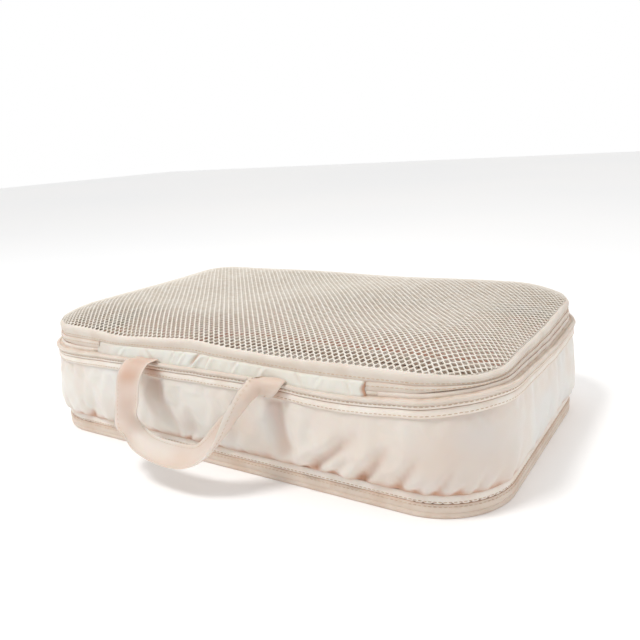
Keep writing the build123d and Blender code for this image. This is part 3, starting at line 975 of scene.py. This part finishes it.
# The strap's centre line as (x, distance in front of the base outline, z) in millimetres, from the left end
# to the right, with the way that its width points at each place. It makes half a turn on the way.
STRAP_ROUTE = [
    ((-62, 3.5, STRAP_LEVEL / MM), (1, 0, 0)),
    ((-62.5, 7.5, STRAP_LEVEL / MM), (1, 0, 0)),
    ((-63.5, 17, 83.5), (1, 0, 0)),
    ((-63.5, 25.5, 74.5), (1, 0, 0)),
    ((-63, 30, 59), (1, 0.04, 0.05)),
    ((-60.5, 34, 44.5), (0.95, 0.22, 0.1)),
    ((-52, 37.5, 32.5), (0.2, 0.93, 0.2)),
    ((-37, 40.5, 26.5), (0, 0.95, 0.28)),
    ((-12, 41, 24.5), (0, 0.88, 0.42)),
    ((8, 40.5, 26.5), (-0.1, 0.88, 0.42)),
    ((22, 38, 34), (-0.4, 0.8, 0.4)),
    ((34, 34, 48), (-0.5, 0.78, 0.25)),
    ((45, 28, 64), (-0.38, 0.9, -0.1)),
    ((54, 20, 77), (0.05, 0.93, -0.2)),
    ((61, 7.5, STRAP_LEVEL / MM), (1, 0, 0)),
    ((61, 3.5, STRAP_LEVEL / MM), (1, 0, 0)),
]

# How far the webbing is cupped, as (share of its run, half of the angle that its width spans).
STRAP_CUP = [(0, 0.05), (0.27, 0.05), (0.38, 1.5), (0.5, 0.8), (0.6, 0.5), (0.7, 0.8), (0.8, 1.5),
             (0.87, 2.0), (0.93, 0.6), (0.96, 0.05), (1, 0.05)]


def spline_through(values, per_span):
    """A smooth curve through the values, which are rows of numbers."""
    values = np.array(values, float)
    before = np.vstack([2 * values[0] - values[1], values[:-1]])
    after = np.vstack([values[1:], 2 * values[-1] - values[-2]])
    slopes = (after - before) / 2
    t = (np.arange(per_span) / per_span)[None, :, None]
    start, end = values[:-1, None], values[1:, None]
    leaving, arriving = slopes[:-1, None], slopes[1:, None]
    spans = ((2 * t ** 3 - 3 * t ** 2 + 1) * start + (t ** 3 - 2 * t ** 2 + t) * leaving
             + (-2 * t ** 3 + 3 * t ** 2) * end + (t ** 3 - t ** 2) * arriving)
    return np.vstack([spans.reshape(-1, values.shape[1]), values[-1:]])


def strap_frame():
    """The strap's centre line with its running, width and face directions at each place."""
    places = [(x * MM, -HALF_DEPTH - out * MM, z * MM) for (x, out, z), inward in STRAP_ROUTE]
    centre = spline_through(places, STRAP_STEPS)
    inward = spline_through([direction for place, direction in STRAP_ROUTE], STRAP_STEPS)
    along = np.gradient(centre, axis=0)
    along /= np.linalg.norm(along, axis=1)[:, None]
    inward -= along * (inward * along).sum(axis=1)[:, None]
    inward /= np.linalg.norm(inward, axis=1)[:, None]
    return centre, along, inward, np.cross(along, inward)


def make_handle():
    centre, along, inward, face = strap_frame()
    count, across = len(centre), 17
    t = np.linspace(-1, 1, across)
    hem = 1 - 0.35 * np.exp(-((np.abs(t) - STRAP_HEM) / 0.07) ** 2)
    half_thick = STRAP_THICKNESS / 2 * hem * (1 - 0.75 * np.abs(t) ** 10)
    run = np.linspace(0, 1, count)[:, None]
    wavy_edges = 0.5 * MM * np.sin(17 * run + 1.3) * t
    wavy_middle = 0.35 * MM * np.sin(31 * run) * (1 - t ** 2)
    curl = 0.9 * MM * t ** 2 + wavy_edges + wavy_middle
    cup = np.interp(run, *np.array(STRAP_CUP, float).T)

    def cupped(place):
        """Where a place across the webbing lies once it is cupped: along its width and off its face."""
        turn = cup * place
        middle = np.sin(cup) / cup
        return STRAP_WIDTH / 2 * np.sin(turn) / cup, STRAP_WIDTH / 2 * (middle - np.cos(turn)) / cup

    def both_faces(front, back):
        return np.concatenate([front, back[:, ::-1]], axis=1)

    width, rise = cupped(t)
    lift = both_faces(curl + rise + half_thick, curl + rise - half_thick)
    width = both_faces(width, width)
    points = centre[:, None] + inward[:, None] * width[..., None] + face[:, None] * lift[..., None]
    faces = grid_faces(count, 2 * across, close_columns=True) + end_caps(count, 2 * across)
    strap = mesh_object("handle_strap_fabric", points, faces)
    # Painted shade on the strap's legs, strongest on the left leg, which faces away from the light; its edges
    # stay pale.
    legs = smooth(0.1, 0.6, np.abs(run - 0.47) / 0.47)
    left_leg = 1 - 0.65 * smooth(0.3, 0.6, run)
    patches = 0.65 + 0.12 * np.sin(40 * run + 1) + 0.1 * np.sin(73 * run)
    stain = 0.85 * legs * left_leg * patches * (1 - np.abs(t) ** 3)
    set_painted_shade(strap, both_faces(stain, stain))
    finish_piece(strap, STRAP, "handle_strap", None, "handle_strap", "handle_end_left", "handle_end_right")
    length = np.concatenate([[0], np.cumsum(np.linalg.norm(np.diff(centre, axis=0), axis=1))])
    stations = np.arange(STRAP_END, length[-1] - STRAP_END, STRAP_STITCH_PITCH)

    def at(values):
        """Values along the strap, taken at its stitches."""
        return np.stack([np.interp(stations, length, column) for column in values.T], axis=-1)

    rows = []
    for edge in (-STRAP_HEM, STRAP_HEM):
        edge_width, edge_rise = cupped(edge)
        column = int(round((edge + 1) / 2 * (across - 1)))
        edge_rise = at(edge_rise + curl[:, column:column + 1])
        for side in (-1, 1):
            rise = edge_rise + side * 0.6 * STRAP_THICKNESS / 2
            middle = at(centre) + at(inward) * at(edge_width) + at(face) * rise
            rows.append(beads(f"strap_row_{edge}_{side}", middle, at(along), at(face), STRAP_STITCH_LENGTH,
                              STRAP_STITCH_RADIUS))
    stitches = finish_piece(join("handle_stitches", rows), THREAD, "handle_strap", None)
    for piece in (strap, stitches):
        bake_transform(piece)


# ---- Stage ----
FLOOR_REACH = 6.0
WHITE = (1.0, 1.0, 1.0, 1.0)


def make_stage():
    """A pale floor under an even white sky that is dimmer in front."""
    corners = FLOOR_REACH * np.array([(-1, -1, 0), (1, -1, 0), (1, 1, 0), (-1, 1, 0)])
    floor = mesh_object("floor", corners, [[0, 1, 2, 3]])
    n = Nodes(bpy.data.materials.new("pale_floor"))
    color = n.mix(n.ramp(n.noise(0.8), 0.3, 0.7), (250, 249, 248), (247, 247, 247))
    floor.data.materials.append(n.finish(color, 0.8, Specular_IOR_Level=0.2, Emission_Color=WHITE,
                                         Emission_Strength=0.08))
    world = bpy.data.worlds.new("studio")
    sky = Nodes(world, "Background", "Generated")
    x, y, z = sky.axes()
    sky.put(sky.shader, "Color", WHITE)
    sky.put(sky.shader, "Strength", sky.ramp(y, -0.5, 0.2, 0.55, 1.0, "LINEAR"))
    bpy.context.scene.world = world


def make_key_light():
    """One soft light, high in front of the handle side."""
    place, target = Vector((-0.3, -0.75, 1.65)), Vector((0, -0.1, 0.05))
    light = bpy.data.lights.new("key", "AREA")
    light.shape = "DISK"
    light.size = 0.45
    light.energy = 14.5
    lamp = bpy.data.objects.new("key", light)
    lamp.location = place
    lamp.rotation_euler = (target - place).to_track_quat("-Z", "Y").to_euler()
    bpy.context.scene.collection.objects.link(lamp)


def make_camera():
    """The photograph's view: from the right of the handle side, a little above the cube."""
    yaw, pitch, roll = math.radians(32.96), math.radians(14.84), math.radians(-3.69)
    camera = bpy.data.objects.new("camera", bpy.data.cameras.new("camera"))
    camera.data.lens = 37.64
    camera.data.sensor_width = 36
    place = Matrix.Translation((0.3393, -HALF_DEPTH - 0.364, 0.2457))
    aim = Matrix.Rotation(yaw, 4, "Z") @ Matrix.Rotation(math.pi / 2 - pitch, 4, "X")
    camera.matrix_world = place @ aim @ Matrix.Rotation(roll, 4, "Z")
    bpy.context.scene.collection.objects.link(camera)
    bpy.context.scene.camera = camera


make_bottom()
make_bottom_panel()
make_side_wall()
make_compression_zip()
make_inner_bindings()
make_lid_zip()
make_end_tabs()
make_lid_binding()
make_hinge_panel()
make_net()
make_handle()
for name in ("lid_zip_slider_left", "lid_zip_slider_right", "compression_zip_slider", "lid_zip_pull_left",
             "lid_zip_pull_right", "compression_zip_pull"):
    for slot_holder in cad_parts[name].material_slots:
        slot_holder.material = PAINT
make_stage()
make_key_light()
make_camera()
bpy.context.scene.view_settings.view_transform = "Standard"
